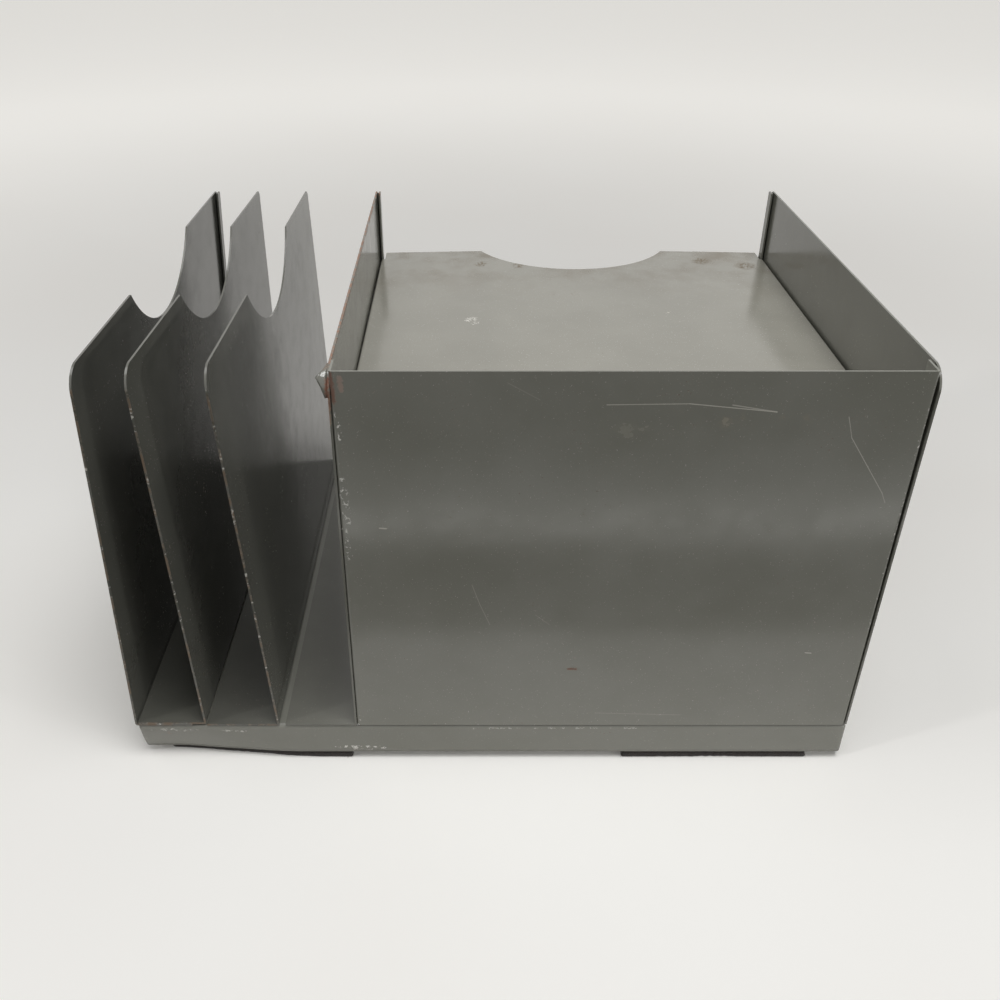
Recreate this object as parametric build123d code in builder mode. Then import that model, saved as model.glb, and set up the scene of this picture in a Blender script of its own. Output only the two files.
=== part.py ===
from build123d import *
import os

# Desk organiser folded from painted sheet steel. Three upright bays for envelopes stand on the left
# and a box of trays on the right, all on one shallow upside-down base pan with felt feet.
# The plain panel of the box closes its near side, -Y. Trays and drawer open to the far side, +Y.
# X runs to the right, +Z is up, and Z = 0 is the desk top.

# ---------------------------------------------------------------- driving sizes, millimetres
sheet = 1.0                     # thickness of every folded sheet
bend_radius = 1.5               # outside radius of a fold
box_width = 257.8               # over both side walls of the box
depth = 279.4                   # near edge to far edge of the walls, one sheet length
wall_height = 203.2             # base top to the top edge of walls and dividers
bay_1_pitch = 36.3              # end wall to first divider
bay_2_pitch = 38.2              # first divider to second divider
bay_3_pitch = 40.8              # second divider to box
near_corner = 11.0              # rounded near top corners of all uprights
far_snip = 2.4                  # cut off their far top corners, at 45 degrees
corner_overlap = 0.1            # the blank's straight edges lie this far outside the leaf
notch_radius = 68.0             # one round punch cuts every finger notch
divider_notch_depth = 29.2
divider_notch_y = 145.0         # centre of the divider notch from the near edge
shelf_notch_depth = 39.3
hem_gap = 1.2                   # open fold along the far edge of the outer walls
hem_leg = 6.0
foot_flange = 30.0              # foot of the end wall, under the first bay floor
wall_flange = 14.0              # feet of the box walls

# how far each upright has been pushed over at its top, at the near and at the far edge
end_wall_lean = (6.9, 9.3)
divider_1_lean = (-6.6, 0.6)
divider_2_lean = (-11.2, -6.2)
left_wall_lean = (0.0, -1.0)
right_wall_lean = (1.2, 0.8)

lip_height = 19.0               # folded rim of the base pan
base_radius = 2.6
base_flange = 17.0              # turned in under the near and far rims, carries the felt
base_proud = 0.8                # the pan stands out beyond the right wall
felt_thickness = 5.0
felt_width = 15.0
felt_length = 100.0
felt_setback = 0.4
felt_left_inset = 12.6          # pan edge to strip, left pair
felt_right_inset = 17.5         # pan edge to strip, right pair
felt_corner = 0.6
panel_flange = 12.0             # near panel's side folds, inside the walls
panel_corner = 2.0              # rounded bottom corners of the near panel
floor_gap = 3.3                 # second divider's fold to the floor plate

shelf_drop = 43.4               # top edge of the walls down to the top tray
shelf_overhang = 7.0            # tray lip beyond the far edge of the walls
shelf_crown = 1.6               # the tray sheet is bowed up in the middle
shelf_flange = 12.0
shelf_lip = 9.0
lip_radius = 2.0
paper_shelf_height = 80.0       # base top to the hidden middle shelf

stop_inset = 56.0               # far edge of the walls back to the drawer's stop
drawer_side_gap = 9.0           # wall to drawer side, holds the runner
drawer_floor_height = 4.0       # base top to the underside of the drawer
drawer_side_height = 62.0
drawer_back_gap = 6.0
side_foot = 12.0                # drawer sides, turned in under the drawer's floor
front_clearance = 0.8
front_return = 6.0
front_radius = 1.8
runner_leg = 7.5
runner_clearance = 0.4
runner_radius = 1.4
stop_drop = 5.0                 # how far the stop hangs below the drawer's rim
stop_width = 60.0
stop_foot = 12.0
pull_span = 84.0
pull_width = 12.0
pull_thickness = 2.0
pull_projection = 18.0
pull_foot = 13.0
pull_fold = 4.0                 # outside radius of the pull's bends
rivet_head_radius = 3.2
rivet_head_height = 1.4
rivet_radius = 1.6
rivet_clearance = 0.1
dome_share = 0.8                # part of the head's height that is rounded
slip = 0.3                      # air between sheets that only lie side by side

# ---------------------------------------------------------------- derived places
bays_width = bay_1_pitch + bay_2_pitch + bay_3_pitch
total_width = bays_width + box_width + base_proud
total_depth = depth + pull_projection
near = -total_depth / 2
far = near + depth
left = -total_width / 2
box_left = left + bays_width
box_right = box_left + box_width
box_middle = (box_left + box_right) / 2
divider_1_x = left + bay_1_pitch
divider_2_x = divider_1_x + bay_2_pitch

base_top = felt_thickness + lip_height
top_edge = base_top + wall_height
floor_top = base_top + sheet
hem_radius = hem_gap / 2 + sheet
hem_thickness = 2 * hem_radius
hem_depth = hem_radius + hem_leg
hem_start = far - hem_depth

shelf_top = top_edge - shelf_drop
paper_shelf_top = base_top + paper_shelf_height
inner_width = box_width - 2 * sheet
mouth_width = box_width - 2 * hem_thickness - 2 * front_clearance

drawer_width = box_width - 2 * sheet - 2 * drawer_side_gap
drawer_bottom = base_top + drawer_floor_height
drawer_rim = drawer_bottom + drawer_side_height
drawer_near = near + sheet + drawer_back_gap
drawer_far = far - sheet
runner_far = hem_start - slip
runner_gap = sheet + 2 * runner_clearance
flange_reach = drawer_side_gap + sheet - hem_thickness - front_clearance
front_bottom = floor_top + front_clearance
front_top = paper_shelf_top - sheet - front_clearance
stop_y = far - stop_inset
drawer_travel = stop_y - slip - (drawer_near + sheet)


# ---------------------------------------------------------------- shared shapes
def folded_channel(width, leg, radius, crown=0.0):
    """Cut through a sheet with both edges folded down: its back lies on local Y = 0, its legs hang
    down by leg, and the back may be bowed up in the middle by crown."""
    half = width / 2
    with BuildSketch() as profile:
        with BuildLine():
            Polyline((-half, 0), (-half, -2 * leg), (half, -2 * leg), (half, 0))
            if crown > 0:
                ThreePointArc((half, 0), (0, crown), (-half, 0))
            else:
                Line((half, 0), (-half, 0))
        make_face()
        fillet(profile.vertices().group_by(Axis.Y)[-1], radius)
        offset(amount=-sheet, mode=Mode.SUBTRACT)
        with Locations((0, -leg)):
            Rectangle(2 * width, 2 * leg, align=(Align.CENTER, Align.MAX), mode=Mode.SUBTRACT)
    return profile.sketch


def folded_angle(foot, rise, radius, side):
    """Cut through a sheet folded once: it rises from the outer corner at the local origin, and its
    foot runs along local Y = 0 to the given side, +1 or -1."""
    with BuildSketch() as profile:
        with BuildLine():
            Polyline((0, 0), (side * foot, 0), (side * foot, sheet), (side * sheet, sheet),
                     (side * sheet, rise), (0, rise), (0, 0))
        make_face()
        outer_corner = profile.vertices().sort_by_distance((0, 0))[0]
        inner_corner = profile.vertices().sort_by_distance((side * sheet, sheet))[0]
        fillet(outer_corner, radius)
        fillet(inner_corner, radius - sheet)
    return profile.sketch


def leaf_outline(x_near, x_far, hem_side):
    """Plan of an upright: a strip one sheet thick from the near edge to the far edge, between
    faces whose -X side is at x_near and x_far. With hem_side +1 or -1 its far edge is folded
    back on that side as an open hem."""
    if hem_side == 0:
        with BuildSketch() as plain:
            with BuildLine():
                Polyline((x_near, near), (x_near + sheet, near), (x_far + sheet, far),
                         (x_far, far), (x_near, near))
            make_face()
        return plain.sketch
    fold_y = far - hem_radius
    skin_near = x_near if hem_side > 0 else x_near + sheet
    skin_far = x_far if hem_side > 0 else x_far + sheet
    crown_x = skin_far + hem_side * hem_radius
    leg_x = skin_far + hem_side * hem_thickness
    with BuildSketch() as hemmed:
        with BuildLine():
            Line((skin_near, near), (skin_far, fold_y))
            ThreePointArc((skin_far, fold_y), (crown_x, far), (leg_x, fold_y))
            Polyline((leg_x, fold_y), (leg_x, fold_y - hem_leg),
                     (leg_x - hem_side * sheet, fold_y - hem_leg), (leg_x - hem_side * sheet, fold_y))
            ThreePointArc((leg_x - hem_side * sheet, fold_y), (crown_x, far - sheet),
                          (skin_far + hem_side * sheet, fold_y))
            Polyline((skin_far + hem_side * sheet, fold_y), (skin_near + hem_side * sheet, near),
                     (skin_near, near))
        make_face()
    return hemmed.sketch


def blank_outline(notch_depth):
    """Side view, in Y and Z, of an upright's flat blank: its near top corner is rounded, its far
    one snipped, and with a depth its top edge has the round notch. Its straight edges lie just
    outside the leaf."""
    with BuildSketch() as blank:
        with Locations(((near + far) / 2, top_edge + corner_overlap)):
            Rectangle(depth + 2 * corner_overlap, top_edge, align=(Align.CENTER, Align.MAX))
        fillet(blank.vertices().group_by(Axis.Y)[-1].sort_by(Axis.X)[0], near_corner)
        chamfer(blank.vertices().group_by(Axis.Y)[-1].sort_by(Axis.X)[-1], far_snip)
        if notch_depth > 0:
            with Locations((near + divider_notch_y, top_edge - notch_depth + notch_radius)):
                Circle(notch_radius, mode=Mode.SUBTRACT)
    return blank.sketch


def round_notch(far_edge):
    """Plan of the finger notch in a tray sheet whose far edge is at far_edge."""
    with BuildSketch() as notch:
        with Locations((box_middle, far_edge - shelf_notch_depth + notch_radius)):
            Circle(notch_radius)
    return notch.sketch


def facing_near(x, y, z):
    """Plane for a cut across the trays: X to the right, Y up, extruding towards the near side."""
    return Plane(origin=(x, y, z), x_dir=(1, 0, 0), z_dir=(0, -1, 0))


def finish(part, label):
    """Names a piece and writes it to its own file."""
    part.label = label
    export_step(part, f"parts/{label}.step")


os.makedirs("parts", exist_ok=True)

# ---------------------------------------------------------------- base pan and felt feet
# An upside-down tray: top plate, four folded rims, and a strip turned in under the near and far
# rims to carry the felt.
pan_middle = base_proud / 2
pan_width = total_width - base_proud
with BuildPart() as base_pan:
    with BuildSketch(Plane.XY.offset(felt_thickness)):
        with Locations((pan_middle, (near + far) / 2)):
            Rectangle(pan_width, depth)
    extrude(amount=lip_height)
    fillet(base_pan.edges().filter_by(Axis.Z), base_radius)
    fillet(base_pan.faces().sort_by(Axis.Z)[-1].edges(), base_radius)
    offset(amount=-sheet, openings=base_pan.faces().sort_by(Axis.Z)[0])
    with BuildSketch(Plane.XY.offset(felt_thickness)):
        for rim_y, inward in ((near, 1), (far, -1)):
            with Locations((pan_middle, rim_y + inward * (sheet + base_flange) / 2)):
                Rectangle(pan_width - 2 * base_radius, base_flange - sheet)
    extrude(amount=sheet)
finish(base_pan.part, "base_pan")

felt_rows = {
    "near": near + felt_setback + felt_width / 2,
    "far": far - felt_setback - felt_width / 2,
}
felt_columns = {
    "left": left + base_proud + felt_left_inset + felt_length / 2,
    "right": left + total_width - felt_right_inset - felt_length / 2,
}
for row_name, felt_y in felt_rows.items():
    for column_name, felt_x in felt_columns.items():
        with BuildPart() as felt_strip:
            with BuildSketch(Plane.XY):
                with Locations((felt_x, felt_y)):
                    Rectangle(felt_length, felt_width)
            extrude(amount=felt_thickness)
            fillet(felt_strip.edges().filter_by(Axis.Z), felt_corner)
        finish(felt_strip.part, f"felt_{row_name}_{column_name}")

# ---------------------------------------------------------------- five uprights
# The end wall's foot lies on the pan, under the first bay floor. A bay sheet is one bay's floor
# folded up into the divider on its right. The box walls stand on the floor plate, with their feet
# turned into the box. x is the -X face at the foot, side is where hem and foot are folded to.
uprights = {
    "end_wall": {
        "x": left, "side": 1, "bottom": base_top, "lean": end_wall_lean, "hemmed": True,
        "notch": divider_notch_depth, "foot": foot_flange, "near_inset": 0.0,
    },
    "bay_sheet_1": {
        "x": divider_1_x, "side": -1, "bottom": floor_top, "lean": divider_1_lean, "hemmed": False,
        "notch": divider_notch_depth, "foot": bay_1_pitch + sheet - bend_radius - slip,
        "near_inset": 0.0,
    },
    "bay_sheet_2": {
        "x": divider_2_x, "side": -1, "bottom": base_top, "lean": divider_2_lean, "hemmed": False,
        "notch": divider_notch_depth, "foot": bay_2_pitch - slip, "near_inset": 0.0,
    },
    "left_wall": {
        "x": box_left, "side": 1, "bottom": floor_top, "lean": left_wall_lean, "hemmed": True,
        "notch": 0.0, "foot": wall_flange, "near_inset": sheet + slip,
    },
    "right_wall": {
        "x": box_right - sheet, "side": -1, "bottom": floor_top, "lean": right_wall_lean,
        "hemmed": True,
        "notch": 0.0, "foot": wall_flange, "near_inset": sheet + slip,
    },
}
for name, leaf in uprights.items():
    hem_side = leaf["side"] if leaf["hemmed"] else 0
    far_inset = hem_depth + slip if leaf["hemmed"] else 0.0
    low_plan = leaf_outline(leaf["x"], leaf["x"], hem_side)
    high_plan = leaf_outline(leaf["x"] + leaf["lean"][0], leaf["x"] + leaf["lean"][1], hem_side)
    outline = blank_outline(leaf["notch"])
    foot_profile = folded_angle(leaf["foot"], bend_radius, bend_radius, leaf["side"])
    corner_x = leaf["x"] if leaf["side"] > 0 else leaf["x"] + sheet
    with BuildPart() as upright:
        with BuildSketch(Plane.XY.offset(leaf["bottom"] + bend_radius)):
            add(low_plan)
        with BuildSketch(Plane.XY.offset(top_edge)):
            add(high_plan)
        loft(ruled=True)
        with BuildSketch(Plane.YZ):
            add(outline)
        extrude(amount=total_width, both=True, mode=Mode.INTERSECT)
        with BuildSketch(facing_near(corner_x, far - far_inset, leaf["bottom"])):
            add(foot_profile)
        extrude(amount=depth - far_inset - leaf["near_inset"])
        if leaf["near_inset"] > 0:
            with BuildSketch(Plane.XY.offset(leaf["bottom"])):
                with Locations((leaf["x"], near)):
                    Rectangle(sheet, leaf["near_inset"], align=(Align.MIN, Align.MIN))
                with Locations((leaf["x"], far - far_inset)):
                    Rectangle(sheet, far_inset - hem_radius, align=(Align.MIN, Align.MIN))
            extrude(amount=bend_radius)
    finish(upright.part, name)

# ---------------------------------------------------------------- box
# One flat sheet is the floor of the third bay and of the box. Behind the near panel its edge is
# set back by the panel's thickness.
floor_left = divider_2_x + sheet + floor_gap
with BuildPart() as floor_plate:
    with BuildSketch(Plane.XY.offset(base_top)):
        with Locations((floor_left, near)):
            Rectangle(box_right - floor_left, depth, align=(Align.MIN, Align.MIN))
        with Locations((box_left + sheet, near)):
            Rectangle(box_width, sheet + slip, align=(Align.MIN, Align.MIN), mode=Mode.SUBTRACT)
    extrude(amount=sheet)
finish(floor_plate.part, "floor_plate")

# The near panel is flush with the cut edges of the walls. Both sides are folded back inside the
# walls, and those folds stop above the walls' feet.
panel_bottom = base_top + slip
panel_height = top_edge - panel_bottom
panel_profile = folded_channel(inner_width, panel_flange, bend_radius)
panel_plane = Plane(origin=(box_middle, near, panel_bottom), x_dir=(-1, 0, 0), z_dir=(0, 0, 1))
with BuildSketch() as panel_face:
    with Locations((box_middle, panel_bottom + panel_height / 2)):
        Rectangle(inner_width, panel_height)
    fillet(panel_face.vertices().group_by(Axis.Y)[0], panel_corner)
with BuildPart() as near_panel:
    with BuildSketch(panel_plane):
        add(panel_profile)
    extrude(amount=panel_height)
    with BuildSketch(Plane.XZ):
        add(panel_face.sketch)
    extrude(amount=total_depth, both=True, mode=Mode.INTERSECT)
    with BuildSketch(Plane.XY.offset(panel_bottom)):
        with Locations((box_middle, near + sheet)):
            Rectangle(inner_width, panel_flange, align=(Align.CENTER, Align.MIN))
    extrude(amount=floor_top + bend_radius + slip - panel_bottom, mode=Mode.SUBTRACT)
finish(near_panel.part, "near_panel")

# Two tray sheets, their sides folded down against the walls. Their corners are cut back round the
# panel's folds and round the hems, and both have the round finger notch in the far edge. The top
# one is bowed up and has a folded lip, and reaches out beyond the walls.
tray_sheets = {
    "top_tray": {"top": shelf_top, "crown": shelf_crown, "far": far + shelf_overhang, "lip": True},
    "paper_shelf": {"top": paper_shelf_top, "crown": 0.0, "far": far, "lip": False},
}
tray_near = near + sheet + slip
with BuildSketch() as lip_outline:
    with BuildLine():
        Polyline((-inner_width / 2, 0), (-inner_width / 2, -shelf_lip),
                 (inner_width / 2, -shelf_lip), (inner_width / 2, 0))
        ThreePointArc((inner_width / 2, 0), (0, shelf_crown), (-inner_width / 2, 0))
    make_face()
for name, tray in tray_sheets.items():
    tray_profile = folded_channel(inner_width, shelf_flange, bend_radius, tray["crown"])
    notch_plan = round_notch(tray["far"])
    with BuildPart() as tray_sheet:
        with BuildSketch(facing_near(box_middle, tray["far"], tray["top"])):
            add(tray_profile)
        extrude(amount=tray["far"] - tray_near)
        if tray["lip"]:
            with BuildSketch(facing_near(box_middle, tray["far"], tray["top"])):
                add(lip_outline.sketch)
            extrude(amount=sheet)
        with BuildSketch(Plane.XY.offset(tray["top"] - shelf_flange)):
            for wall_x, inward in ((box_left, Align.MIN), (box_right, Align.MAX)):
                with Locations((wall_x, hem_start - slip)):
                    Rectangle(hem_thickness + slip, hem_depth + 2 * shelf_overhang,
                              align=(inward, Align.MIN))
                with Locations((wall_x, near)):
                    Rectangle(sheet + bend_radius, panel_flange + slip, align=(inward, Align.MIN))
        extrude(amount=shelf_flange + tray["crown"] + sheet, mode=Mode.SUBTRACT)
        if tray["lip"]:
            far_face = tray_sheet.faces().filter_by(Axis.Y).sort_by(Axis.Y)[-1]
            fillet(far_face.edges().sort_by(Axis.Z)[-1], lip_radius)
        with BuildSketch(Plane.XY.offset(tray["top"] - shelf_flange)):
            add(notch_plan)
        extrude(amount=shelf_flange + tray["crown"] + sheet, mode=Mode.SUBTRACT)
    finish(tray_sheet.part, name)

# ---------------------------------------------------------------- runners and stop
# A shallow channel on each wall holds the drawer's folded-out rim. A small angle under the paper
# shelf stops the drawer's back wall.
rim_middle = drawer_rim - sheet / 2
runner_near = near + panel_flange + slip
runner_profile = folded_channel(runner_gap + 2 * sheet, runner_leg, runner_radius)
for name, wall_x, inward in (("left_runner", box_left + sheet, 1), ("right_runner", box_right - sheet, -1)):
    runner_plane = Plane(origin=(wall_x, runner_far, rim_middle), x_dir=(0, 0, inward), z_dir=(0, -1, 0))
    with BuildPart() as runner:
        with BuildSketch(runner_plane):
            add(runner_profile)
        extrude(amount=runner_far - runner_near)
    finish(runner.part, name)

stop_profile = folded_angle(stop_foot, paper_shelf_top - sheet - drawer_rim + stop_drop, bend_radius, 1)
stop_plane = Plane(origin=(box_middle - stop_width / 2, stop_y, paper_shelf_top - sheet),
                   x_dir=(0, 1, 0), z_dir=(1, 0, 0))
with BuildPart() as drawer_stop:
    with BuildSketch(stop_plane):
        mirror(stop_profile, about=Plane.XZ)
    extrude(amount=stop_width)
finish(drawer_stop.part, "drawer_stop")

# ---------------------------------------------------------------- drawer
# A floor folded up into its near and far walls, between two side sheets. The front is a separate
# pressed sheet with folded edges, and a strip-steel pull is riveted through both.
drawer_length = drawer_far - drawer_near
rivet_x = pull_span / 2 + pull_foot / 2
front_middle = (front_bottom + front_top) / 2
with BuildSketch() as rivet_holes:
    with Locations((box_middle - rivet_x, front_middle), (box_middle + rivet_x, front_middle)):
        Circle(rivet_radius + rivet_clearance)
tray_floor = drawer_bottom + sheet
tray_width = drawer_width - 2 * (bend_radius + slip)
tray_profile = folded_channel(drawer_length, drawer_rim - tray_floor, bend_radius)
tray_plane = Plane(origin=(box_middle - tray_width / 2, drawer_near + drawer_length / 2, tray_floor),
                   x_dir=(0, -1, 0), z_dir=(1, 0, 0))
with BuildPart() as drawer_tray:
    with BuildSketch(tray_plane):
        add(tray_profile)
    extrude(amount=tray_width)
    with BuildSketch(Plane.XZ.offset(-drawer_far)):
        add(rivet_holes.sketch)
    extrude(amount=2 * sheet, both=True, mode=Mode.SUBTRACT)
finish(drawer_tray.part, "drawer_tray")

# Each side is one sheet folded twice: a foot under the drawer's floor, and a rim turned outwards
# that runs in the channel and ends short of the front's folded edge.
with BuildSketch() as side_profile:
    with BuildLine():
        FilletPolyline(
            (-side_foot, sheet / 2), (-sheet / 2, sheet / 2),
            (-sheet / 2, drawer_side_height - sheet / 2), (flange_reach, drawer_side_height - sheet / 2),
            radius=bend_radius - sheet / 2,
        )
    trace(line_width=sheet)
for name, side, outward in (("drawer_side_left", -1, Align.MAX), ("drawer_side_right", 1, Align.MIN)):
    side_face = box_middle + side * drawer_width / 2
    side_plane = Plane(origin=(side_face, drawer_far, drawer_bottom), x_dir=(side, 0, 0),
                       z_dir=(0, -side, 0))
    with BuildPart() as drawer_side:
        with BuildSketch(side_plane):
            add(side_profile.sketch)
        extrude(amount=side * drawer_length)
        with BuildSketch(Plane.XY.offset(drawer_rim)):
            with Locations((side_face, runner_far)):
                Rectangle(2 * flange_reach, depth, align=(outward, Align.MIN))
        extrude(amount=-drawer_side_height, mode=Mode.SUBTRACT)
    finish(drawer_side.part, name)

with BuildPart() as drawer_front:
    with BuildSketch(Plane.XZ.offset(-far)):
        with Locations((box_middle, front_middle)):
            Rectangle(mouth_width, front_top - front_bottom)
    extrude(amount=front_return)
    fillet(drawer_front.edges().filter_by(Axis.Y), front_radius)
    fillet(drawer_front.faces().sort_by(Axis.Y)[-1].edges(), front_radius)
    offset(amount=-sheet, openings=drawer_front.faces().sort_by(Axis.Y)[0])
    with BuildSketch(Plane.XZ.offset(-far)):
        add(rivet_holes.sketch)
    extrude(amount=2 * sheet, both=True, mode=Mode.SUBTRACT)
finish(drawer_front.part, "drawer_front")

bow_y = pull_projection - pull_thickness / 2
foot_y = pull_thickness / 2
with BuildSketch() as pull_profile:
    with BuildLine():
        FilletPolyline(
            (-pull_span / 2 - pull_foot, foot_y), (-pull_span / 2, foot_y), (-pull_span / 2, bow_y),
            (pull_span / 2, bow_y), (pull_span / 2, foot_y), (pull_span / 2 + pull_foot, foot_y),
            radius=pull_fold - pull_thickness / 2,
        )
    trace(line_width=pull_thickness)
with BuildPart() as drawer_pull:
    with BuildSketch(Plane(origin=(box_middle, far, front_middle - pull_width / 2))):
        add(pull_profile.sketch)
    extrude(amount=pull_width)
    with BuildSketch(Plane.XZ.offset(-far)):
        add(rivet_holes.sketch)
    extrude(amount=2 * pull_thickness, both=True, mode=Mode.SUBTRACT)
finish(drawer_pull.part, "drawer_pull")

head_base = far + pull_thickness
tail_base = far - 2 * sheet
with BuildPart() as pull_rivets:
    for side in (-1, 1):
        shank_plane = Plane(origin=(box_middle + side * rivet_x, tail_base - rivet_head_height, front_middle),
                            x_dir=(1, 0, 0), z_dir=(0, 1, 0))
        with BuildSketch(shank_plane):
            Circle(rivet_radius)
        extrude(amount=head_base - tail_base + 2 * rivet_head_height)
        with BuildSketch(shank_plane):
            Circle(rivet_head_radius)
        extrude(amount=rivet_head_height)
        with BuildSketch(shank_plane.offset(head_base - tail_base + rivet_head_height)):
            Circle(rivet_head_radius)
        extrude(amount=rivet_head_height)
    head_rims = pull_rivets.faces().filter_by(Axis.Y).group_by(Axis.Y)[-1].edges()
    fillet(head_rims, rivet_head_height * dome_share)
finish(pull_rivets.part, "pull_rivets")
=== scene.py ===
import math

import bpy
import numpy as np
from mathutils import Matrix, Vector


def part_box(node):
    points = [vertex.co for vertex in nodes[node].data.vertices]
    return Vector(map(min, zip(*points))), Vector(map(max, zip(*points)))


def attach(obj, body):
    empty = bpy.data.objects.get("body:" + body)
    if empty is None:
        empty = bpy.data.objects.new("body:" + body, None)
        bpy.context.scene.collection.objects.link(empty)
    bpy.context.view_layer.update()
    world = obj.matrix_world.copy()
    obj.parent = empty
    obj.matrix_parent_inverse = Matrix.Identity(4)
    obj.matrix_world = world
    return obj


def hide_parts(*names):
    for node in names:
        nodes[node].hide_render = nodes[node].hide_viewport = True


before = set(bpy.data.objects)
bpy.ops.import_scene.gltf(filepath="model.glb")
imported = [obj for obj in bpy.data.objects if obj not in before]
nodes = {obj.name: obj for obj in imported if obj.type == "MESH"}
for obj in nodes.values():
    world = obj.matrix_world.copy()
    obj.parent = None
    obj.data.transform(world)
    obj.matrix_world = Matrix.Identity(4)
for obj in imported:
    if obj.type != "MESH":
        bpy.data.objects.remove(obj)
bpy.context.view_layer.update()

mm = 0.001

# ---------------------------------------------------------------- viewpoint
# The sorter is seen from its plain back and from above, left of the tray box's middle. The camera
# is only tilted down, and its picture is shifted sideways, as the photograph is cropped.
panel_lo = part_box("near_panel")[0]
pan_lo, pan_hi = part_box("base_pan")
sheet = 1.0 * mm
box_left = panel_lo.x - sheet
near = panel_lo.y
base_top = pan_hi.z


def spot(x, y, z):
    """A place on the sorter: millimetres right of the tray box's left face, behind its near face,
    and above the base pan's top."""
    return (box_left + x * mm, near + y * mm, base_top + z * mm)


camera_data = bpy.data.cameras.new("viewpoint")
camera = bpy.data.objects.new("viewpoint", camera_data)
bpy.context.scene.collection.objects.link(camera)
camera.location = spot(60.0, -380.7, 379.4)
tilt_down = 32.172
camera.rotation_euler = (math.radians(90 - tilt_down), 0, 0)
camera_data.sensor_width = 36.0
camera_data.lens = 35.94
camera_data.shift_x = 0.03055
camera_data.clip_start = 0.01
bpy.context.scene.camera = camera

# ---------------------------------------------------------------- base pan
# A shallow pan of cold-rolled sheet steel, folded on a press brake and standing upside down.
# Its near rim has been knocked in at the left corner. All the sheets are sprayed with grey
# machine enamel and baked, which gives a semi-gloss skin with a faint orange peel.


def linear(code):
    """An sRGB hex colour as linear light: each channel c/12.92 below 0.04045, otherwise
    ((c + 0.055) / 1.055) to the power 2.4."""
    channels = np.array([int(code[place:place + 2], 16) for place in (0, 2, 4)]) / 255
    light = np.where(channels < 0.04045, channels / 12.92, ((channels + 0.055) / 1.055) ** 2.4)
    return (*light.tolist(), 1.0)


def add_node(tree, kind, inputs=None, **settings):
    """Adds a node, sets its settings, and fills its inputs with values or links."""
    node = tree.nodes.new(kind)
    for name, value in settings.items():
        setattr(node, name, value)
    for name, value in (inputs or {}).items():
        if isinstance(value, bpy.types.NodeSocket):
            tree.links.new(value, node.inputs[name])
        else:
            node.inputs[name].default_value = value
    return node


def start_material(name):
    """An empty material with a Principled shader, and the Object coordinates for its patterns."""
    material = bpy.data.materials.new(name)
    material.use_nodes = True
    tree = material.node_tree
    tree.nodes.clear()
    output = tree.nodes.new("ShaderNodeOutputMaterial")
    shader = tree.nodes.new("ShaderNodeBsdfPrincipled")
    tree.links.new(shader.outputs["BSDF"], output.inputs["Surface"])
    place = add_node(tree, "ShaderNodeTexCoord").outputs["Object"]
    return {"material": material, "tree": tree, "shader": shader, "place": place}


def speckle(coat, size, low, high, detail=2.0, squash=(1, 1, 1)):
    """Mask that is 1 where noise of the given grain size in metres lies above high, and 0 below
    low. squash stretches the grains along an axis where it is under 1."""
    tree = coat["tree"]
    stretched = add_node(tree, "ShaderNodeMapping", {"Vector": coat["place"], "Scale": squash})
    grain = add_node(tree, "ShaderNodeTexNoise",
                     {"Vector": stretched.outputs["Vector"], "Scale": 1 / size, "Detail": detail,
                      "Roughness": 0.6})
    return add_node(tree, "ShaderNodeMapRange",
                    {"Value": grain.outputs["Fac"], "From Min": low, "From Max": high},
                    interpolation_type="SMOOTHSTEP").outputs["Result"]


def streak(coat, start, end, width, ragged):
    """Mask of one stroke from start to end, width metres wide: 1 within a fifth of the width from
    the line between the two points, falling evenly to 0 at half the width. Noise shakes its edge
    by about ragged metres."""
    tree = coat["tree"]
    start = np.array(start)
    run = np.array(end) - start
    length = float(np.linalg.norm(run))
    along = tuple(run / length)
    shake = add_node(tree, "ShaderNodeTexNoise",
                     {"Vector": coat["place"], "Scale": 0.7 / ragged, "Detail": 3.0})
    centred = add_node(tree, "ShaderNodeVectorMath",
                       {0: shake.outputs["Color"], 1: (0.5, 0.5, 0.5)}, operation="SUBTRACT")
    shaken = add_node(tree, "ShaderNodeVectorMath",
                      {0: centred.outputs["Vector"], 1: (3 * ragged,) * 3, 2: coat["place"]},
                      operation="MULTIPLY_ADD")
    offset = add_node(tree, "ShaderNodeVectorMath",
                      {0: shaken.outputs["Vector"], 1: tuple(start)},
                      operation="SUBTRACT").outputs["Vector"]
    share = add_node(tree, "ShaderNodeVectorMath", {0: offset, 1: along}, operation="DOT_PRODUCT")
    held = add_node(tree, "ShaderNodeClamp", {"Value": share.outputs["Value"], "Max": length})
    nearest = add_node(tree, "ShaderNodeVectorMath", {0: along, "Scale": held.outputs["Result"]},
                       operation="SCALE")
    reach = add_node(tree, "ShaderNodeVectorMath", {0: offset, 1: nearest.outputs["Vector"]},
                     operation="DISTANCE")
    return add_node(tree, "ShaderNodeMapRange",
                    {"Value": reach.outputs["Value"], "From Min": width / 2,
                     "From Max": width / 5}).outputs["Result"]


def lay(coat, masks, code, rough):
    """Lays a colour and a roughness over what is already there, by the product of the masks, each
    of which is a pattern or a number."""
    tree = coat["tree"]
    shader = coat["shader"]
    cover = masks[0]
    for mask in masks[1:]:
        cover = add_node(tree, "ShaderNodeMath", {0: cover, 1: mask},
                         operation="MULTIPLY").outputs["Value"]
    below = shader.inputs["Base Color"].links[0].from_socket
    mixed = add_node(tree, "ShaderNodeMix", {0: cover, 6: below, 7: linear(code)}, data_type="RGBA")
    tree.links.new(mixed.outputs[2], shader.inputs["Base Color"])
    finish = shader.inputs["Roughness"].links[0].from_socket
    blended = add_node(tree, "ShaderNodeMix", {0: cover, 2: finish, 3: rough})
    tree.links.new(blended.outputs[0], shader.inputs["Roughness"])


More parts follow.
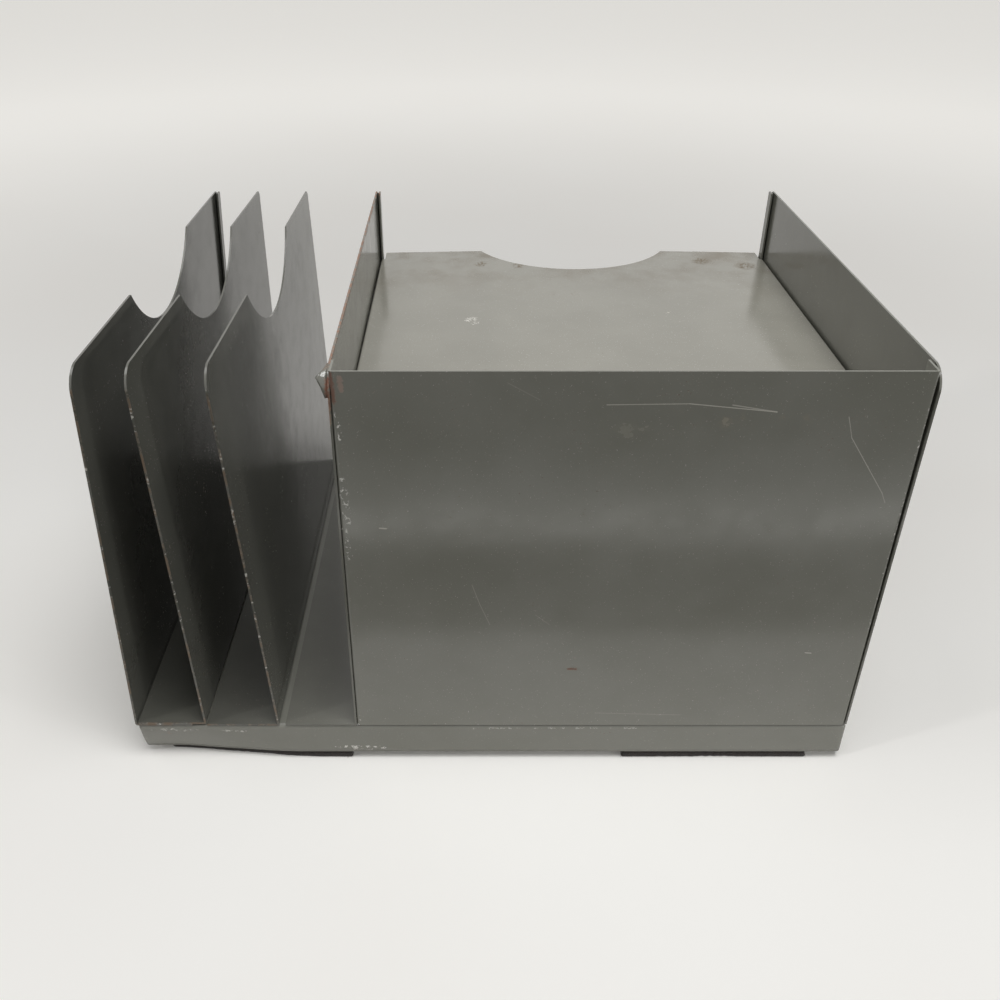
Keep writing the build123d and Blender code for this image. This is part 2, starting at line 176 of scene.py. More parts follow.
def grey_enamel(name, dust, ripple, greys=("7d7d74", "84847c")):
    """Baked grey machine enamel, semi-gloss: the two greys in clouds of 60 mm, duller smears of
    14 mm, rust-brown freckles of 1.4 mm noise, pale specks of 0.7 mm weighed by dust, an orange
    peel of 1.6 mm, and the sheet's own slow waves of 90 mm, as strong as ripple."""
    coat = start_material(name)
    tree = coat["tree"]
    shader = coat["shader"]
    shader.inputs["IOR"].default_value = 1.7
    clouds = speckle(coat, 60 * mm, 0.3, 0.7, detail=4.0)
    grey = add_node(tree, "ShaderNodeMix", {0: clouds, 6: linear(greys[0]), 7: linear(greys[1])},
                    data_type="RGBA")
    tree.links.new(grey.outputs[2], shader.inputs["Base Color"])
    smears = speckle(coat, 14 * mm, 0.35, 0.75, detail=6.0)
    gloss = add_node(tree, "ShaderNodeMapRange", {"Value": smears, "To Min": 0.14, "To Max": 0.22})
    tree.links.new(gloss.outputs["Result"], shader.inputs["Roughness"])
    lay(coat, (speckle(coat, 1.4 * mm, 0.66, 0.72), speckle(coat, 30 * mm, 0.45, 0.7)), "5a4a3a", 0.6)
    lay(coat, (speckle(coat, 0.7 * mm, 0.68, 0.74), dust), "d8d6cf", 0.7)
    peel = add_node(tree, "ShaderNodeTexNoise",
                    {"Vector": coat["place"], "Scale": 1 / (1.6 * mm), "Detail": 1.0})
    wave = add_node(tree, "ShaderNodeTexNoise",
                    {"Vector": coat["place"], "Scale": 1 / (90 * mm), "Detail": 1.0})
    slow = add_node(tree, "ShaderNodeBump",
                    {"Strength": ripple, "Distance": 3 * mm, "Height": wave.outputs["Fac"]})
    fine = add_node(tree, "ShaderNodeBump",
                    {"Strength": 0.25, "Distance": 0.02 * mm, "Height": peel.outputs["Fac"],
                     "Normal": slow.outputs["Normal"]})
    tree.links.new(fine.outputs["Normal"], shader.inputs["Normal"])
    return coat


def paint(piece, coat):
    """Gives a piece its one finish and the name of its material slot."""
    piece.data.materials.clear()
    piece.data.materials.append(coat["material"])


def grid_faces(rows, columns, closed):
    """Quads of a grid of rows by columns points numbered row by row; closed joins each row's
    ends."""
    across = np.arange(columns if closed else columns - 1)
    row, column = np.meshgrid(np.arange(rows - 1), across, indexing="ij")
    following = (column + 1) % columns
    return np.stack([row * columns + column, row * columns + following,
                     (row + 1) * columns + following, (row + 1) * columns + column], -1).reshape(-1, 4)


def new_piece(name, points, faces):
    """A smooth-shaded mesh object at the origin from an array of points and a list of faces."""
    mesh = bpy.data.meshes.new(name)
    mesh.from_pydata(points.tolist(), [], faces)
    mesh.shade_smooth()
    mesh.update()
    piece = bpy.data.objects.new(name, mesh)
    bpy.context.scene.collection.objects.link(piece)
    return piece


def rounded_loop(lo, hi, radius, inset, spacing):
    """Closed plan of a rounded rectangle, moved inwards by inset: four straight runs with points
    about spacing apart, joined by quarter circles of the radius less the inset."""
    runs = []
    turn = max(radius - inset, 0.15 * mm)
    centres = ((lo[0] + radius, lo[1] + radius), (hi[0] - radius, lo[1] + radius),
               (hi[0] - radius, hi[1] - radius), (lo[0] + radius, hi[1] - radius))
    for number, (x, y) in enumerate(centres):
        if inset > radius:
            x += (inset - radius) * (1 if number in (0, 3) else -1)
            y += (inset - radius) * (1 if number in (0, 1) else -1)
        angle = math.pi + number * math.pi / 2 + np.linspace(0, math.pi / 2, 6)
        runs.append(np.stack([x + turn * np.cos(angle), y + turn * np.sin(angle)], -1))
    loop = []
    for number, arc in enumerate(runs):
        following = runs[(number + 1) % 4][0]
        side = hi[number % 2] - lo[number % 2]
        steps = max(2, round(side / spacing))
        share = np.linspace(0, 1, steps, endpoint=False)[1:, None]
        loop += [arc, arc[-1] + share * (following - arc[-1])]
    return np.concatenate(loop)


def knock(points):
    """Pushes the near rim's left end in: at most 5.2 mm towards the far side, most at the rim's
    foot. It fades with a cosine to nothing 85 mm along, with height to the power 1.3 to nothing
    2 mm under the top, and evenly to nothing 60 mm behind the rim. A sine ripple 44 mm long is
    added, which only pushes inwards too."""
    depth, ripple, ripple_turn, curve = 5.2 * mm, 0.35 * mm, 7 * mm, 1.3
    along = np.clip((points[:, 0] - pan_lo.x) / (85 * mm), 0, 1)
    down = np.clip((pan_hi.z - 2 * mm - points[:, 2]) / (pan_hi.z - pan_lo.z), 0, 1)
    nearness = np.clip(1 - (points[:, 1] - near) / (60 * mm), 0, 1)
    pushed = points.copy()
    pushed[:, 1] += depth * (0.5 + 0.5 * np.cos(np.pi * along ** curve)) * down ** curve * nearness
    pushed[:, 1] += ripple * (1 + np.sin(points[:, 0] / ripple_turn)) * down * nearness * (1 - along)
    return pushed


# The pan is a rounded rectangle carried along a profile of inset and height: straight up the rim,
# round a quarter circle, then flat inwards, where one face closes the top. Under both long rims
# runs a flange: a quarter circle, then flat inwards.
bend = 2.6 * mm
profile = [(0.0, height) for height in np.linspace(pan_lo.z, pan_hi.z - bend, 8)]
profile += [(bend - bend * math.cos(turn), pan_hi.z - bend + bend * math.sin(turn))
            for turn in np.linspace(0, math.pi / 2, 8)[1:]]
profile += [(inset, pan_hi.z) for inset in (6 * mm, 20 * mm)]
rings = [rounded_loop(pan_lo, pan_hi, bend, inset, 3 * mm) for inset, height in profile]
count = len(rings[0])
pan_points = np.concatenate([np.column_stack([ring, np.full(count, height)])
                             for ring, (inset, height) in zip(rings, profile)])
pan_faces = grid_faces(len(profile), count, closed=True).tolist()
pan_faces.append(list(range((len(profile) - 1) * count, len(profile) * count)))
fold = 1.2 * mm
flange_middle, flange_reach = 9 * mm, 17 * mm
flange_x = np.linspace(pan_lo.x + bend, pan_hi.x - bend, 120)
for rim_y, inward in ((near, 1), (pan_hi.y, -1)):
    turn = np.linspace(0, math.pi / 2, 5)
    across = np.concatenate([fold - fold * np.cos(turn), [flange_middle, flange_reach]])
    lift = np.concatenate([fold - fold * np.sin(turn), [0, 0]])
    first = len(pan_points)
    strip_x, strip_across = np.meshgrid(flange_x, across, indexing="ij")
    strip = np.stack([strip_x, rim_y + inward * strip_across,
                      np.broadcast_to(pan_lo.z + lift, strip_x.shape)], -1)
    pan_points = np.concatenate([pan_points, strip.reshape(-1, 3)])
    quads = grid_faces(len(flange_x), len(across), closed=False) + first
    pan_faces += (quads if inward > 0 else quads[:, ::-1]).tolist()
base_pan = new_piece("base_pan_folded", knock(pan_points), pan_faces)
thickness = base_pan.modifiers.new("sheet", "SOLIDIFY")
thickness.thickness = sheet
thickness.offset = -1.0

pan_enamel = grey_enamel("baked_grey_enamel_base", dust=0.2, ripple=0.15)
chip_grain = speckle(pan_enamel, 2.2 * mm, 0.48, 0.56, detail=4.0)
for start, end, width, code in (
        ((-108, 0, -3.2), (-96.4, 0, -3.9), 1.4, "e2e0da"),
        ((-102, 0, -3.2), (-83.6, 0, -3.6), 2.4, "cfcdc6"),
        ((-71.6, 0, -3.8), (-57.4, 0, -4.4), 1.6, "c8c6bf"),
        ((-99.0, 0, -5.6), (-97.6, 0, -9.0), 2.4, "7c4a32"),
        ((-104, 0, -9.8), (-96, 0, -9.8), 1.6, "6d4a36"),
        ((-115, 0, -8.3), (-111.5, 0, -12.7), 4.5, "c9b4a8"),
        ((-114, 0, -14), (-109, 0, -17), 2.6, "6d4632"),
        ((-10.6, 0, -15.2), (14.9, 0, -16.0), 2.2, "dcdad4"),
        ((-2, 0, -17.0), (10, 0, -17.2), 1.4, "c8c5be"),
        ((60, 0, -2.0), (150, 0, -2.0), 1.0, "a5a49c")):
    mark = streak(pan_enamel, spot(*start), spot(*end), width * mm, ragged=0.7 * mm)
    lay(pan_enamel, (mark, chip_grain), code, 0.45)
paint(base_pan, pan_enamel)
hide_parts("base_pan")
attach(base_pan, "case")

# ---------------------------------------------------------------- felt feet
# Four strips of black-brown wool felt, glued under the pan's turned-in edges so that the
# sorter doesn't scratch a desk. They are pressed flat, with loose fibres along their sides.
felt = start_material("pressed_wool_felt")
felt_fleck = speckle(felt, 0.9 * mm, 0.35, 0.65, detail=6.0)
felt_colour = add_node(felt["tree"], "ShaderNodeMix",
                       {0: felt_fleck, 6: linear("120e0b"), 7: linear("2a211b")}, data_type="RGBA")
felt["tree"].links.new(felt_colour.outputs[2], felt["shader"].inputs["Base Color"])
felt_dull = add_node(felt["tree"], "ShaderNodeMapRange",
                     {"Value": felt_fleck, "To Min": 0.85, "To Max": 1.0})
felt["tree"].links.new(felt_dull.outputs["Result"], felt["shader"].inputs["Roughness"])
felt_nap = add_node(felt["tree"], "ShaderNodeTexNoise",
                    {"Vector": felt["place"], "Scale": 1 / (0.6 * mm), "Detail": 5.0})
felt_bump = add_node(felt["tree"], "ShaderNodeBump",
                     {"Strength": 0.9, "Distance": 0.5 * mm, "Height": felt_nap.outputs["Fac"]})
felt["tree"].links.new(felt_bump.outputs["Normal"], felt["shader"].inputs["Normal"])
felt["shader"].inputs["Specular IOR Level"].default_value = 0.2
felt["shader"].inputs["Sheen Weight"].default_value = 0.25
felt["shader"].inputs["Sheen Roughness"].default_value = 0.6


def wander(points, size, seed):
    """Smooth random field at each point: the mean of five sine waves with random directions and
    phases, whose lengths lie round size metres."""
    chance = np.random.default_rng(seed)
    directions = chance.normal(size=(5, 3))
    directions /= np.linalg.norm(directions, axis=1, keepdims=True)
    waves = directions * (2 * np.pi / (size * chance.uniform(0.7, 1.6, (5, 1))))
    return np.sin(points @ waves.T + chance.uniform(0, 2 * np.pi, 5)).mean(axis=1)


# Each strip is a rounded rectangle carried up through six stations, drawn in a little towards its
# middle by the random field, with thin three-point fibres along its sides.
for seed, strip_name in enumerate(("felt_near_left", "felt_near_right", "felt_far_left",
                                   "felt_far_right")):
    lo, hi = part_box(strip_name)
    soft, corner = 0.9 * mm, 1.5 * mm
    stations = [(soft, lo.z), (0.25 * mm, lo.z + 0.4 * mm), (0.0, lo.z + 1.2 * mm),
                (0.15 * mm, lo.z + 3 * mm), (0.3 * mm, hi.z - 0.6 * mm), (soft, hi.z)]
    rings = [rounded_loop(lo, hi, corner, inset, 1.2 * mm) for inset, height in stations]
    count = len(rings[0])
    points = np.concatenate([np.column_stack([ring, np.full(count, height)])
                             for ring, (inset, height) in zip(rings, stations)])
    middle = np.array([(lo.x + hi.x) / 2, (lo.y + hi.y) / 2, 0])
    shrink = 1 - 0.5 * mm * (1 + wander(points, 4 * mm, seed)) / np.linalg.norm(
        points[:, :2] - middle[:2], axis=1)
    points[:, :2] = middle[:2] + (points[:, :2] - middle[:2]) * shrink[:, None]
    faces = grid_faces(len(stations), count, closed=True).tolist()
    faces += [list(range(count))[::-1], list(range((len(stations) - 1) * count, len(stations) * count))]

    chance = np.random.default_rng(100 + seed)
    fibres = 900
    edge = rounded_loop(lo, hi, corner, 0.6 * mm, 1.2 * mm)
    picked = chance.integers(0, len(edge), fibres)
    root = np.column_stack([edge[picked] + chance.normal(0, 0.3 * mm, (fibres, 2)),
                            lo.z + chance.uniform(0.3, 4.4, fibres) * mm])
    outward = root[:, :2] - middle[:2]
    outward = np.stack([np.where(np.abs(outward[:, 0]) > (hi.x - lo.x) / 2 - corner,
                                 np.sign(outward[:, 0]), 0), np.sign(outward[:, 1])], -1)
    reach = chance.uniform(0.5, 1.1, (fibres, 1)) * mm
    lean = np.column_stack([outward * reach + chance.normal(0, 0.5 * mm, (fibres, 2)),
                            chance.normal(-0.3 * mm, 0.5 * mm, fibres)])
    width = chance.normal(0, 1, (fibres, 3))
    width *= 0.06 * mm / np.linalg.norm(width, axis=1, keepdims=True)
    blades = np.stack([root - width, root + width, root + lean], 1)
    blades[:, :, 0] = np.clip(blades[:, :, 0], lo.x, hi.x)
    blades[:, :, 1] = np.clip(blades[:, :, 1], max(lo.y - 0.4 * mm, near),
                              min(hi.y + 0.4 * mm, pan_hi.y))
    blades[:, :, 2] = np.clip(blades[:, :, 2], 0.02 * mm, hi.z)
    first = len(points)
    points = np.concatenate([points, blades.reshape(-1, 3)])
    faces += (np.arange(fibres * 3).reshape(-1, 3) + first).tolist()
    # The near left strip was pushed in with the rim, and fades back with a cosine.
    if strip_name == "felt_near_left":
        push, push_length = 7.5 * mm, 100 * mm
        along = np.clip((points[:, 0] - pan_lo.x) / push_length, 0, 1)
        points[:, 1] += push * (0.5 + 0.5 * np.cos(np.pi * along))
    strip = new_piece(strip_name + "_wool", points, faces)
    paint(strip, felt)
    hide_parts(strip_name)
    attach(strip, "case")

# ---------------------------------------------------------------- bay sheets and end wall
# Three sheets with a round finger notch form the envelope bays. Their near cut edges are worn to
# rust and steel. Their grey is painted darker than the near panel's: painted shade, in place of the
# deep shade between the real sheets.


def fade(coat, axis, start, end):
    """Mask that rises evenly along one axis, from 0 at start to 1 at end, both in metres."""
    parts = add_node(coat["tree"], "ShaderNodeSeparateXYZ", {"Vector": coat["place"]})
    return add_node(coat["tree"], "ShaderNodeMapRange",
                    {"Value": parts.outputs[axis], "From Min": start,
                     "From Max": end}).outputs["Result"]


# The darker greys are painted shade between the sheets, not the enamel's own colour.
bay_enamel_painted_shade = grey_enamel("baked_grey_enamel_bays_painted_shade", dust=0.1, ripple=0.12, greys=("5a5a54", "62625b"))
near_edge = fade(bay_enamel_painted_shade, "Y", near + 0.3 * mm, near + 0.1 * mm)
lay(bay_enamel_painted_shade, (near_edge, speckle(bay_enamel_painted_shade, 5 * mm, 0.4, 0.62, detail=5.0)), "6b5a48", 0.55)
lay(bay_enamel_painted_shade, (near_edge, speckle(bay_enamel_painted_shade, 3 * mm, 0.6, 0.68, detail=4.0)), "c9c7bf", 0.5)
for name in ("end_wall", "bay_sheet_1", "bay_sheet_2"):
    paint(nodes[name], bay_enamel_painted_shade)

# ---------------------------------------------------------------- tray box walls and floor plate
# Two plain walls with an open hem along the far edge stand on the floor plate, spot-welded. The
# left one's top edge is worn to rust, and its near corner is bent out and torn. Their grey is
# painted a little darker than the near panel's: painted shade.
# The darker greys are painted shade on the walls and floor plate, not the enamel's own colour.
wall_enamel_painted_shade = grey_enamel("baked_grey_enamel_walls_painted_shade", dust=0.15, ripple=0.15, greys=("6a6a62", "72726a"))
top_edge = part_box("end_wall")[1].z
top_rub = fade(wall_enamel_painted_shade, "Z", top_edge - 2.2 * mm, top_edge - 0.2 * mm)
left_half = fade(wall_enamel_painted_shade, "X", box_left + 20 * mm, box_left + 10 * mm)
rub_grain = speckle(wall_enamel_painted_shade, 3.5 * mm, 0.35, 0.6, detail=5.0)
lay(wall_enamel_painted_shade, (top_rub, left_half, rub_grain), "8a6a58", 0.6)
# Rust and bare steel run down the near edge under the torn corner.
for start, end, width, code in (
        ((0, 2, 202), (0, 0, 186), 3.0, "70452f"),
        ((0, 0, 190), (0, 0, 178), 1.6, "8f7a68")):
    wear = streak(wall_enamel_painted_shade, spot(*start), spot(*end), width * mm, ragged=0.8 * mm)
    lay(wall_enamel_painted_shade, (wear,), code, 0.7)
for name in ("left_wall", "right_wall", "floor_plate"):
    paint(nodes[name], wall_enamel_painted_shade)

# The torn corner is a patch between two edges, in millimetres from the box's left near foot. The
# inner edge is the quarter circle of the wall's near top corner, the outer one two straight runs
# that meet at the tip. Between them it bulges outwards, as the product of two half sine waves.
ear_rows, ear_columns = 5, 9
ear_top, ear_bulge, arc_radius = 202.4, 0.9, 11.4
ear_start, ear_tip = np.array([-0.4, 10, ear_top]), np.array([-4.6, 1.4, 199.8])
corner_arc = np.linspace(0, math.pi / 2, ear_columns)
inner_edge = np.stack([np.full(ear_columns, 0.45), 0.5 + arc_radius - arc_radius * np.sin(corner_arc),
                       ear_top - arc_radius + arc_radius * np.cos(corner_arc)], -1)
share = np.linspace(0, 1, ear_columns)[:, None]
outer_edge = np.where(share < 0.5, ear_start + share * 2 * np.array([-4.2, -8.6, -2.6]),
                      ear_tip + (share * 2 - 1) * np.array([3.4, -0.4, -9.4]))
across = np.linspace(0, 1, ear_rows)[:, None, None]
ear = inner_edge[None] * (1 - across) + outer_edge[None] * across
ear[:, :, 0] -= ear_bulge * np.sin(np.pi * across[:, :, 0]) * np.sin(np.pi * share[None, :, 0])
ear_points = np.array([spot(0, 0, 0)]) + ear.reshape(-1, 3) * mm
ear_faces = grid_faces(ear_rows, ear_columns, closed=False).tolist()
torn_corner = new_piece("left_wall_torn_corner", ear_points, ear_faces)
ear_sheet = torn_corner.modifiers.new("sheet", "SOLIDIFY")
ear_sheet.thickness = 0.8 * mm
ear_sheet.offset = 0.0
paint(torn_corner, wall_enamel_painted_shade)
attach(torn_corner, "case")

# ---------------------------------------------------------------- near panel
# The plain back of the tray box, one sheet with both sides folded in behind the walls' edges.
# Years of handling have left fine scratches, dried smears, a rust spot and chipped side edges.
panel_enamel = grey_enamel("baked_grey_enamel_panel", dust=0.35, ripple=0.4)
smear_grain = speckle(panel_enamel, 9 * mm, 0.5, 0.68, detail=8.0)
for x, z, size, code in ((48, 189, 16, "8e8c80"), (57, 178, 14, "8e8c80"), (171, 180, 11, "938c7c"),
                         (199, 180, 12, "938c7c"), (218, 172, 9, "8a8374"), (128, 176, 14, "87857a")):
    patch = streak(panel_enamel, spot(x, 0, z), spot(x + 3, 0, z + 2), size * mm, ragged=2.5 * mm)
    lay(panel_enamel, (patch, smear_grain, 0.6), code, 0.5)
for start, end, width, strength in (
        ((118.5, 0, 187.7), (153.7, 0, 188.2), 0.6, 0.6),
        ((153.7, 0, 188.2), (191.3, 0, 184.3), 0.6, 0.75),
        ((172, 0, 187.6), (191.3, 0, 184.3), 0.8, 0.5),
        ((222.5, 0, 182.0), (225.8, 0, 171.7), 0.5, 0.5),
        ((225.8, 0, 171.7), (245.0, 0, 143.7), 0.5, 0.55),
        ((245.0, 0, 143.7), (247.5, 0, 138.4), 0.5, 0.5),
        ((61.2, 0, 92.2), (65.1, 0, 80.1), 0.4, 0.35),
        ((65.1, 0, 80.1), (70.0, 0, 67.8), 0.4, 0.35),
        ((92, 0, 74), (99, 0, 68), 0.4, 0.25),
        ((125.3, 0, 9.0), (169.7, 0, 7.6), 0.4, 0.3),
        ((18.8, 0, 124.6), (21.8, 0, 124.4), 0.9, 1.0),
        ((227.4, 0, 50.0), (230.2, 0, 49.7), 0.9, 0.8),
        ((76, 0, 198), (90, 0, 190), 0.4, 0.2)):
    scratch = streak(panel_enamel, spot(*start), spot(*end), width * mm, ragged=0.12 * mm)
    lay(panel_enamel, (scratch, strength), "c9c6bc", 0.4)
chips = speckle(panel_enamel, 1.6 * mm, 0.55, 0.6, detail=3.0, squash=(1, 1, 0.6))
for start, end, width in (((2.4, 0, 151), (4.6, 0, 128), 4.2), ((2.2, 0, 124), (4.4, 0, 108), 3.6),
                          ((3.4, 0, 184), (3.6, 0, 170), 2.6), ((1.6, 0, 6), (1.8, 0, 1), 3.0),
                          ((255.8, 0, 190), (256, 0, 60), 1.0)):
    ragged_edge = streak(panel_enamel, spot(*start), spot(*end), width * mm, ragged=1.2 * mm)
    lay(panel_enamel, (ragged_edge, chips), "d9d7d0", 0.45)
# A rust spot, rust down the left corner, and a pink stain beside it.
for start, end, width, ragged, strength, code, rough in (
        ((109.8, 0, 39.3), (113.6, 0, 39.2), 2.2, 0.6, 0.8, "6e4630", 0.75),
        ((1.6, 0, 202), (2.4, 0, 189), 3.0, 0.9, 0.85, "6a4432", 0.7),
        ((5.4, 0, 200.3), (5.9, 0, 194.7), 3.0, 0.8, 0.6, "a08578", 0.6)):
    stain = streak(panel_enamel, spot(*start), spot(*end), width * mm, ragged=ragged * mm)
    lay(panel_enamel, (stain, strength), code, rough)
paint(nodes["near_panel"], panel_enamel)

# ---------------------------------------------------------------- top tray and paper shelf
# Two tray sheets with turned-down sides and a punched finger notch, browned by handling towards the
# far edge. Their grey is painted paler than the near panel's: painted light on these upward faces,
# with pale dust specks on top. The top one has dried spots and two hairline cracks in its paint.
# The paler greys are painted light on the trays' upward faces, not the enamel's own colour.
tray_enamel_painted_light = grey_enamel("baked_grey_enamel_trays_painted_light", dust=0.8, ripple=0.12, greys=("96948a", "9e9c92"))
browned = fade(tray_enamel_painted_light, "Y", near + 190 * mm, near + 285 * mm)
handled = speckle(tray_enamel_painted_light, 22 * mm, 0.38, 0.72, detail=7.0)
lay(tray_enamel_painted_light, (browned, handled, 0.65), "6a5c48", 0.5)
for points_along, strength in (
        (((130.2, 231, 160), (131, 180, 160), (129.4, 140, 160), (128, 95, 160)), 0.5),
        (((148.2, 196, 160), (147.4, 160, 160), (145.3, 128, 160)), 0.4)):
    for start, end in zip(points_along, points_along[1:]):
        crack = streak(tray_enamel_painted_light, spot(*start), spot(*end), 0.9 * mm, ragged=0.6 * mm)
        lay(tray_enamel_painted_light, (crack, strength), "565349", 0.7)
dab_height = 160.5
for x, y, size, code in ((60, 161, 7, "e6e4dc"), (63, 156, 4, "e4e2da"), (60, 40, 3, "5b5142"),
                         (55, 66, 4, "5b5142"), (176, 172, 3, "c9c6bb"), (40, 24, 3, "57503f"),
                         (213, 264, 14, "6a5c48"), (240, 256, 16, "6f6250"), (67, 257, 10, "6f6250"),
                         (92, 254, 10, "6a5c48")):
    dab = streak(tray_enamel_painted_light, spot(x, y, dab_height), spot(x + 1.5, y + 2, dab_height), size * mm,
                 ragged=1.2 * mm)
    lay(tray_enamel_painted_light, (dab, speckle(tray_enamel_painted_light, 1.3 * mm, 0.45, 0.55)), code, 0.7)
for name in ("top_tray", "paper_shelf"):
    paint(nodes[name], tray_enamel_painted_light)

# ---------------------------------------------------------------- drawer and its runners
# Folded channels on the walls carry the drawer's turned-out rims. The drawer is folded from the
# same sheet and painted with the case; its front is pressed with turned edges.
drawer_enamel = grey_enamel("baked_grey_enamel_drawer", dust=0.2, ripple=0.2)
front_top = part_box("drawer_front")[1].z
lip = fade(drawer_enamel, "Z", front_top - 3 * mm, front_top - 0.5 * mm)
scuff = speckle(drawer_enamel, 1.2 * mm, 0.56, 0.62, detail=3.0, squash=(0.25, 1, 1))
lay(drawer_enamel, (lip, scuff), "b5b3ab", 0.5)
for name in ("drawer_tray", "drawer_side_left", "drawer_side_right", "drawer_front", "left_runner",
             "right_runner", "drawer_stop"):
    paint(nodes[name], drawer_enamel)

# ---------------------------------------------------------------- pull and rivets
# A pull bent from flat steel strip and two domed steel rivets, nickel-plated over a brushed
# ground, so the streaks run along the strip.
nickel = start_material("nickel_plated_steel")
nickel["shader"].inputs["Metallic"].default_value = 1.0
brush = speckle(nickel, 0.5 * mm, 0.3, 0.7, detail=4.0, squash=(0.04, 1, 1))
nickel_colour = add_node(nickel["tree"], "ShaderNodeMix",
                         {0: brush, 6: linear("b4b0a6"), 7: linear("c9c5bb")}, data_type="RGBA")
nickel["tree"].links.new(nickel_colour.outputs[2], nickel["shader"].inputs["Base Color"])
nickel_gloss = add_node(nickel["tree"], "ShaderNodeMapRange",
                        {"Value": brush, "To Min": 0.24, "To Max": 0.38})
nickel["tree"].links.new(nickel_gloss.outputs["Result"], nickel["shader"].inputs["Roughness"])
lay(nickel, (speckle(nickel, 2.5 * mm, 0.62, 0.7, detail=5.0), 0.6), "6f6557", 0.55)
for name in ("drawer_pull", "pull_rivets"):
    paint(nodes[name], nickel)

# ---------------------------------------------------------------- white floor
# A flat white board lies under the sorter and runs 7 m out each way. The camera sees it plain. From
# 100 mm in front of the near panel every other ray meets a darker room, with one strip that shines
# in mirrors, which gives the panel its soft bands.
floor_reach, floor_steps = 7.0, 57
floor_span = np.linspace(-floor_reach, floor_reach, floor_steps)
grid_x, grid_y = np.meshgrid(floor_span, floor_span, indexing="ij")
floor_points = np.stack([grid_x, grid_y, np.zeros_like(grid_x)], -1).reshape(-1, 3)
floor_faces = grid_faces(floor_steps, floor_steps, closed=False)[:, ::-1].tolist()
white_floor = new_piece("white_floor", floor_points, floor_faces)
board = start_material("white_board")
board_tree = board["tree"]
board["shader"].inputs["Roughness"].default_value = 0.9
board["shader"].inputs["Specular IOR Level"].default_value = 0.1
board_tone = speckle(board, 0.4, 0.3, 0.7, detail=2.0)
pale = add_node(board_tree, "ShaderNodeMix", {0: board_tone, 6: linear("e9e7e3"), 7: linear("ecebe8")},
                data_type="RGBA")
in_front = fade(board, "Y", near - 0.6, near)
room = add_node(board_tree, "ShaderNodeValToRGB", {"Fac": in_front})
strip_light = add_node(board_tree, "ShaderNodeValToRGB", {"Fac": in_front})
for ramp, stops in (
        (room, ((0.0, "2a2824"), (0.42, "2a2824"), (0.50, "8a8a88"), (0.64, "8a8a88"), (0.66, "2c2a27"),
                (0.76, "5f5c57"), (0.815, "6a6761"), (0.835, "e9e7e3"), (1.0, "e9e7e3"))),
        (strip_light, ((0.0, "000000"), (0.44, "000000"), (0.56, "707070"), (0.60, "ffffff"),
                       (0.635, "ffffff"), (0.66, "000000"), (1.0, "000000")))):
    for position, code in stops[2:]:
        ramp.color_ramp.elements.new(position)
    for element, (position, code) in zip(ramp.color_ramp.elements, stops):
        element.position = position
        element.color = linear(code)
ray = add_node(board_tree, "ShaderNodeLightPath")
board_colour = add_node(board_tree, "ShaderNodeMix",
                        {0: ray.outputs["Is Camera Ray"], 6: room.outputs["Color"], 7: pale.outputs[2]},
                        data_type="RGBA")
board_tree.links.new(board_colour.outputs[2], board["shader"].inputs["Base Color"])
# The board glows for the camera, weakly beside the sorter so that its shadow stays, and more far
# off. Mirrors see that glow behind the near panel's plane, and in front of it only the strip.
outwards = add_node(board_tree, "ShaderNodeVectorMath", {0: board["place"]}, operation="LENGTH")
pale_glow = add_node(board_tree, "ShaderNodeMapRange",
                     {"Value": outwards.outputs["Value"], "From Min": 0.15, "From Max": 1.9,
                      "To Min": 0.12, "To Max": 0.67}, interpolation_type="SMOOTHSTEP")
behind_glow = add_node(board_tree, "ShaderNodeMath",
                       {0: pale_glow.outputs["Result"], 1: fade(board, "Y", near, near + 0.05)},
                       operation="MULTIPLY")
strip_glow = add_node(board_tree, "ShaderNodeMath", {0: strip_light.outputs["Color"], 1: 0.9},
                      operation="MULTIPLY")
mirror_glow = add_node(board_tree, "ShaderNodeMath",
                       {0: strip_glow.outputs["Value"], 1: behind_glow.outputs["Value"]},
                       operation="ADD")
seen_by_mirror = add_node(board_tree, "ShaderNodeMath",
                          {0: mirror_glow.outputs["Value"], 1: ray.outputs["Is Glossy Ray"]},
                          operation="MULTIPLY")
seen_by_eye = add_node(board_tree, "ShaderNodeMath",
                       {0: pale_glow.outputs["Result"], 1: ray.outputs["Is Camera Ray"]},
                       operation="MULTIPLY")
strength = add_node(board_tree, "ShaderNodeMath",
                    {0: seen_by_mirror.outputs["Value"], 1: seen_by_eye.outputs["Value"]},
                    operation="ADD")
board_tree.links.new(strength.outputs["Value"], board["shader"].inputs["Emission Strength"])
board["shader"].inputs["Emission Color"].default_value = linear("fdfbf6")
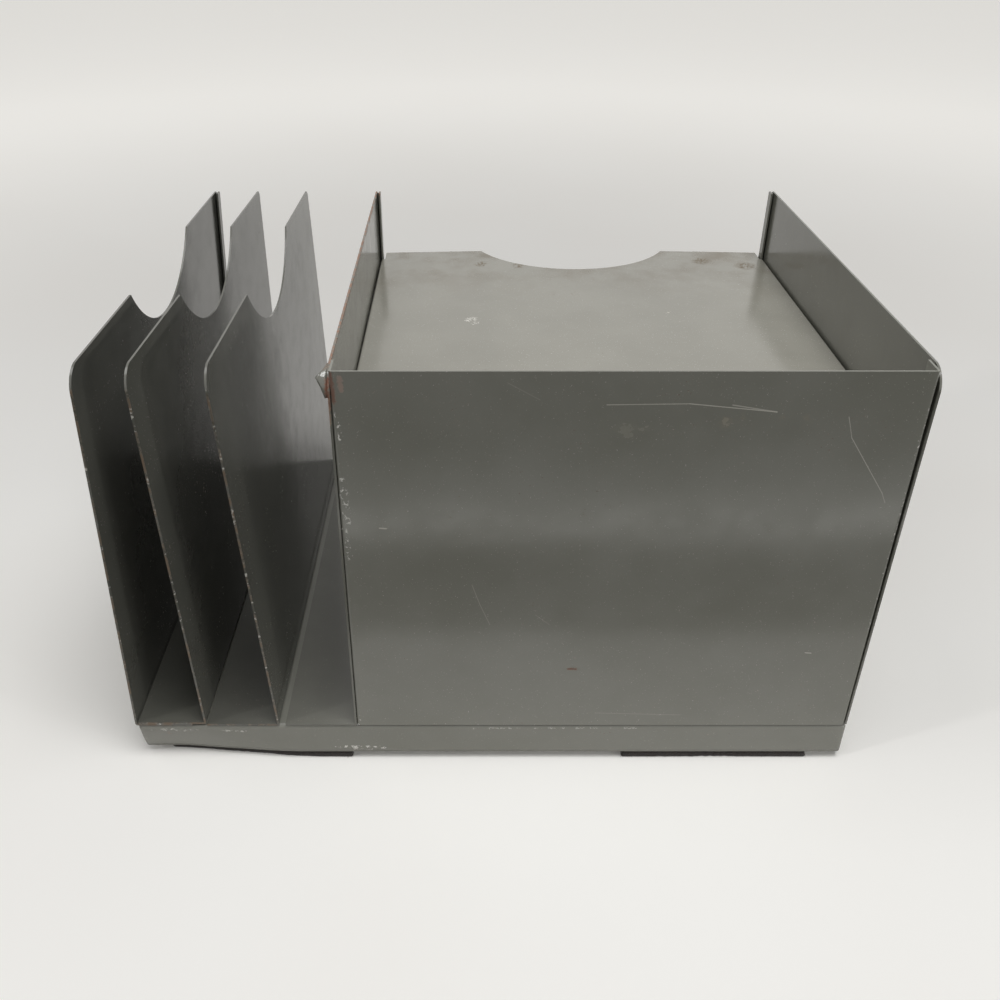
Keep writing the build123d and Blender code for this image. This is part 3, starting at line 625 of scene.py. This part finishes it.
white_floor.data.materials.append(board["material"])

# ---------------------------------------------------------------- lamps
# Two wide soft lights hang high, one in front on the right and one on the left. Three small lamps
# stand lower and in front, two on the right and one on the left. All are turned to one aim on the
# box's left wall. turn counts from the right, below 0 in front; rise counts up from level.
aim = np.array(spot(0, 40, 100))
for name, turn, rise, distance, size, power in (
        ("overhead_softbox", -50.0, 70.0, 1.50, 0.8, 15.5),
        ("left_softbox", -170.0, 64.0, 1.60, 0.9, 4.5),
        ("right_lamp", -30.0, 12.0, 1.6, 0.08, 2.6),
        ("right_front_lamp", -42.0, 12.0, 1.6, 0.08, 1.3),
        ("left_lamp", -155.0, 30.0, 1.6, 0.10, 3.6)):
    lamp_data = bpy.data.lights.new(name, "AREA")
    lamp_data.shape = "SQUARE"
    lamp_data.size = size
    lamp_data.energy = power
    lamp = bpy.data.objects.new(name, lamp_data)
    bpy.context.scene.collection.objects.link(lamp)
    turn, rise = math.radians(turn), math.radians(rise)
    way = np.array([math.cos(turn) * math.cos(rise), math.sin(turn) * math.cos(rise), math.sin(rise)])
    lamp.location = aim + distance * way
    lamp.rotation_euler = (math.pi / 2 - rise, 0, turn + math.pi / 2)

# The room is bright where the camera or a mirror sees it, and otherwise hardly lights anything.
room_fill, room_seen = 0.03, 0.85
room_light = bpy.data.worlds.new("room_light")
bpy.context.scene.world = room_light
room_light.use_nodes = True
background = room_light.node_tree.nodes["Background"]
background.inputs["Color"].default_value = linear("f6f4f0")
world_ray = add_node(room_light.node_tree, "ShaderNodeLightPath")
seen = add_node(room_light.node_tree, "ShaderNodeMath",
                {0: world_ray.outputs["Is Camera Ray"], 1: world_ray.outputs["Is Glossy Ray"]},
                operation="MAXIMUM")
brightness = add_node(room_light.node_tree, "ShaderNodeMapRange",
                      {"Value": seen.outputs["Value"], "To Min": room_fill, "To Max": room_seen})
room_light.node_tree.links.new(brightness.outputs["Result"], background.inputs["Strength"])

bpy.context.scene.view_settings.view_transform = "Standard"
bpy.context.view_layer.update()
